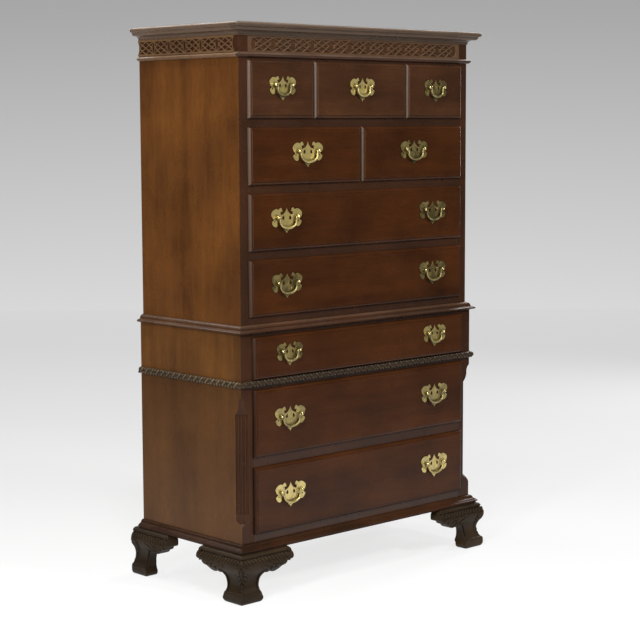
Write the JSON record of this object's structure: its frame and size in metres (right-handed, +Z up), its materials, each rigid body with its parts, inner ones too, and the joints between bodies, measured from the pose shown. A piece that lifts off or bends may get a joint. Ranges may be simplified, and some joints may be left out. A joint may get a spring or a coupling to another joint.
{
  "type": "chest on chest",
  "caption": "Tall two-part wooden chest of lipped drawers with a fret frieze, fluted lower corners, ogee bracket feet and brass bail pulls.",
  "frame": {"origin": "on the floor, under the middle of the overall box", "axes": "+Z up, +X to the right of someone who faces the chest, the drawers open towards -Y"},
  "size_m": [1, 0.498, 1.5885],
  "materials": {
    "mahogany": "aged polish, satin",
    "lining": "bare, dry oak and pine",
    "brass": "old lacquered cast brass"
  },
  "bodies": {
    "case": {"upper_sides": "mahogany", "upper_rails": "mahogany", "lower_sides": "mahogany", "lower_rails": "mahogany", "corner_posts": "mahogany", "case_boards": "lining", "back_boards": "lining", "drawer_runners": "lining", "cornice": "mahogany", "frieze_bead": "mahogany", "waist_moulding": "mahogany", "carved_moulding": "mahogany", "base_moulding": "mahogany", "fret_frieze": "mahogany", "bracket_feet": "mahogany"},
    "first_left_drawer": {"first_left_front": "mahogany", "first_left_box": "lining", "first_left_brasses": "brass"},
    "first_left_bail_swing": {"first_left_bail": "brass"},
    "first_middle_drawer": {"first_middle_front": "mahogany", "first_middle_box": "lining", "first_middle_brasses": "brass"},
    "first_middle_bail_swing": {"first_middle_bail": "brass"},
    "first_right_drawer": {"first_right_front": "mahogany", "first_right_box": "lining", "first_right_brasses": "brass"},
    "first_right_bail_swing": {"first_right_bail": "brass"},
    "second_left_drawer": {"second_left_front": "mahogany", "second_left_box": "lining", "second_left_brasses": "brass"},
    "second_left_bail_swing": {"second_left_bail": "brass"},
    "second_right_drawer": {"second_right_front": "mahogany", "second_right_box": "lining", "second_right_brasses": "brass"},
    "second_right_bail_swing": {"second_right_bail": "brass"},
    "third_drawer": {"third_front": "mahogany", "third_box": "lining", "third_brasses": "brass"},
    "third_bail_left_swing": {"third_bail_left": "brass"},
    "third_bail_right_swing": {"third_bail_right": "brass"},
    "fourth_drawer": {"fourth_front": "mahogany", "fourth_box": "lining", "fourth_brasses": "brass"},
    "fourth_bail_left_swing": {"fourth_bail_left": "brass"},
    "fourth_bail_right_swing": {"fourth_bail_right": "brass"},
    "fifth_drawer": {"fifth_front": "mahogany", "fifth_box": "lining", "fifth_brasses": "brass"},
    "fifth_bail_left_swing": {"fifth_bail_left": "brass"},
    "fifth_bail_right_swing": {"fifth_bail_right": "brass"},
    "sixth_drawer": {"sixth_front": "mahogany", "sixth_box": "lining", "sixth_brasses": "brass"},
    "sixth_bail_left_swing": {"sixth_bail_left": "brass"},
    "sixth_bail_right_swing": {"sixth_bail_right": "brass"},
    "seventh_drawer": {"seventh_front": "mahogany", "seventh_box": "lining", "seventh_brasses": "brass"},
    "seventh_bail_left_swing": {"seventh_bail_left": "brass"},
    "seventh_bail_right_swing": {"seventh_bail_right": "brass"}
  },
  "joints": [
    {"name": "first_left_slide", "type": "slide", "parent": "case", "child": "first_left_drawer", "axis": [0, -1, 0], "range_m": [0, 0.3]},
    {"name": "first_left_bail_hinge", "type": "hinge", "parent": "first_left_drawer", "child": "first_left_bail_swing", "pos_m": [-0.3065, -0.2249, 1.42235], "axis": [-1, 0, 0], "range_deg": [0, 95]},
    {"name": "first_middle_slide", "type": "slide", "parent": "case", "child": "first_middle_drawer", "axis": [0, -1, 0], "range_m": [0, 0.3]},
    {"name": "first_middle_bail_hinge", "type": "hinge", "parent": "first_middle_drawer", "child": "first_middle_bail_swing", "pos_m": [0, -0.2249, 1.42235], "axis": [-1, 0, 0], "range_deg": [0, 95]},
    {"name": "first_right_slide", "type": "slide", "parent": "case", "child": "first_right_drawer", "axis": [0, -1, 0], "range_m": [0, 0.3]},
    {"name": "first_right_bail_hinge", "type": "hinge", "parent": "first_right_drawer", "child": "first_right_bail_swing", "pos_m": [0.3065, -0.2249, 1.42235], "axis": [-1, 0, 0], "range_deg": [0, 95]},
    {"name": "second_left_slide", "type": "slide", "parent": "case", "child": "second_left_drawer", "axis": [0, -1, 0], "range_m": [0, 0.3]},
    {"name": "second_left_bail_hinge", "type": "hinge", "parent": "second_left_drawer", "child": "second_left_bail_swing", "pos_m": [-0.21425, -0.2249, 1.24145], "axis": [-1, 0, 0], "range_deg": [0, 95]},
    {"name": "second_right_slide", "type": "slide", "parent": "case", "child": "second_right_drawer", "axis": [0, -1, 0], "range_m": [0, 0.3]},
    {"name": "second_right_bail_hinge", "type": "hinge", "parent": "second_right_drawer", "child": "second_right_bail_swing", "pos_m": [0.21425, -0.2249, 1.24145], "axis": [-1, 0, 0], "range_deg": [0, 95]},
    {"name": "third_slide", "type": "slide", "parent": "case", "child": "third_drawer", "axis": [0, -1, 0], "range_m": [0, 0.3]},
    {"name": "third_bail_left_hinge", "type": "hinge", "parent": "third_drawer", "child": "third_bail_left_swing", "pos_m": [-0.295, -0.2249, 1.06055], "axis": [-1, 0, 0], "range_deg": [0, 95]},
    {"name": "third_bail_right_hinge", "type": "hinge", "parent": "third_drawer", "child": "third_bail_right_swing", "pos_m": [0.295, -0.2249, 1.06055], "axis": [-1, 0, 0], "range_deg": [0, 95]},
    {"name": "fourth_slide", "type": "slide", "parent": "case", "child": "fourth_drawer", "axis": [0, -1, 0], "range_m": [0, 0.3]},
    {"name": "fourth_bail_left_hinge", "type": "hinge", "parent": "fourth_drawer", "child": "fourth_bail_left_swing", "pos_m": [-0.295, -0.2249, 0.87965], "axis": [-1, 0, 0], "range_deg": [0, 95]},
    {"name": "fourth_bail_right_hinge", "type": "hinge", "parent": "fourth_drawer", "child": "fourth_bail_right_swing", "pos_m": [0.295, -0.2249, 0.87965], "axis": [-1, 0, 0], "range_deg": [0, 95]},
    {"name": "fifth_slide", "type": "slide", "parent": "case", "child": "fifth_drawer", "axis": [0, -1, 0], "range_m": [0, 0.3]},
    {"name": "fifth_bail_left_hinge", "type": "hinge", "parent": "fifth_drawer", "child": "fifth_bail_left_swing", "pos_m": [-0.295, -0.2349, 0.689], "axis": [-1, 0, 0], "range_deg": [0, 95]},
    {"name": "fifth_bail_right_hinge", "type": "hinge", "parent": "fifth_drawer", "child": "fifth_bail_right_swing", "pos_m": [0.295, -0.2349, 0.689], "axis": [-1, 0, 0], "range_deg": [0, 95]},
    {"name": "sixth_slide", "type": "slide", "parent": "case", "child": "sixth_drawer", "axis": [0, -1, 0], "range_m": [0, 0.3]},
    {"name": "sixth_bail_left_hinge", "type": "hinge", "parent": "sixth_drawer", "child": "sixth_bail_left_swing", "pos_m": [-0.295, -0.2349, 0.50725], "axis": [-1, 0, 0], "range_deg": [0, 95]},
    {"name": "sixth_bail_right_hinge", "type": "hinge", "parent": "sixth_drawer", "child": "sixth_bail_right_swing", "pos_m": [0.295, -0.2349, 0.50725], "axis": [-1, 0, 0], "range_deg": [0, 95]},
    {"name": "seventh_slide", "type": "slide", "parent": "case", "child": "seventh_drawer", "axis": [0, -1, 0], "range_m": [0, 0.3]},
    {"name": "seventh_bail_left_hinge", "type": "hinge", "parent": "seventh_drawer", "child": "seventh_bail_left_swing", "pos_m": [-0.295, -0.2349, 0.291], "axis": [-1, 0, 0], "range_deg": [0, 95]},
    {"name": "seventh_bail_right_hinge", "type": "hinge", "parent": "seventh_drawer", "child": "seventh_bail_right_swing", "pos_m": [0.295, -0.2349, 0.291], "axis": [-1, 0, 0], "range_deg": [0, 95]}
  ]
}
